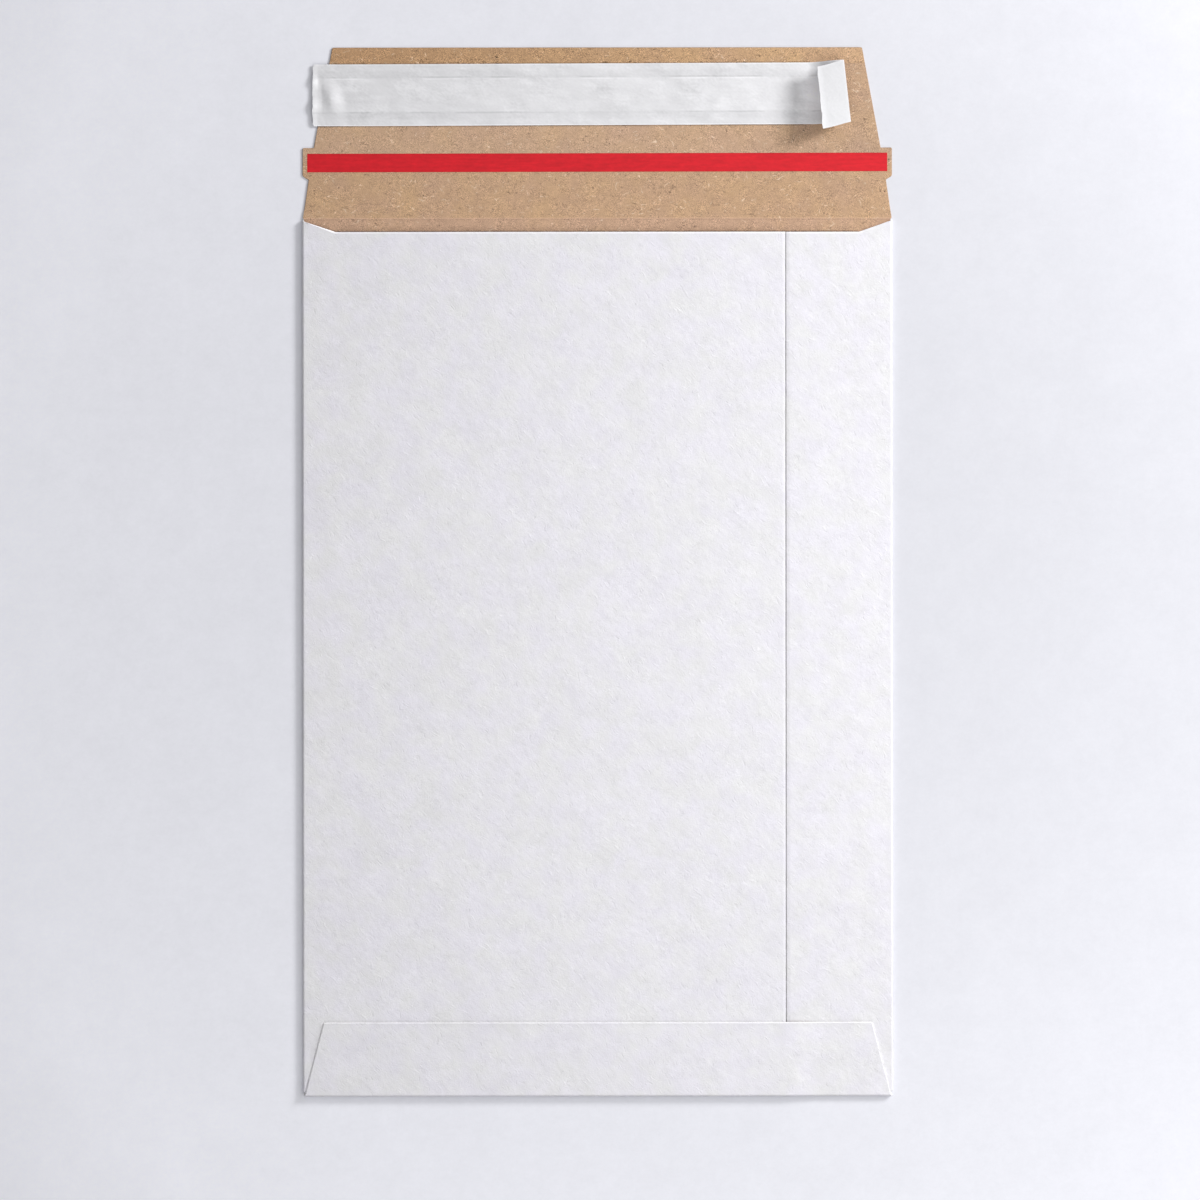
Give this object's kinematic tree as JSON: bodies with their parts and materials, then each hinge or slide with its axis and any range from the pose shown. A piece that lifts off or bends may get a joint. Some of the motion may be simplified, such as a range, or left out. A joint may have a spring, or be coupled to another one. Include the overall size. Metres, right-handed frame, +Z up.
{
  "type": "calendar envelope",
  "caption": "Flat board mailing envelope for a calendar, lying on its back with the closing flap open: side seam, glued bottom flap, tear tape with tabs, and a release liner with a finger lift.",
  "frame": {"origin": "on the surface it lies on, at the middle of its width and of its length from the bottom fold to the open flap's edge", "axes": "+X to the right across the seam side, +Y from the bottom fold to the closing flap, +Z up out of the seam side"},
  "size_m": [0.235, 0.418, 0.0121],
  "materials": {
    "white_board": "matte",
    "red_film": "satin",
    "clear_adhesive": "satin",
    "release_paper": "satin",
    "pale_glue": "matte"
  },
  "bodies": {
    "root": {"envelope_board": "white_board", "tear_tape": "red_film", "adhesive_strip": "clear_adhesive", "release_liner": "release_paper", "side_seam_glue": "pale_glue", "bottom_glue_on_panel": "pale_glue", "bottom_glue_on_strip": "pale_glue"}
  },
  "joints": []
}
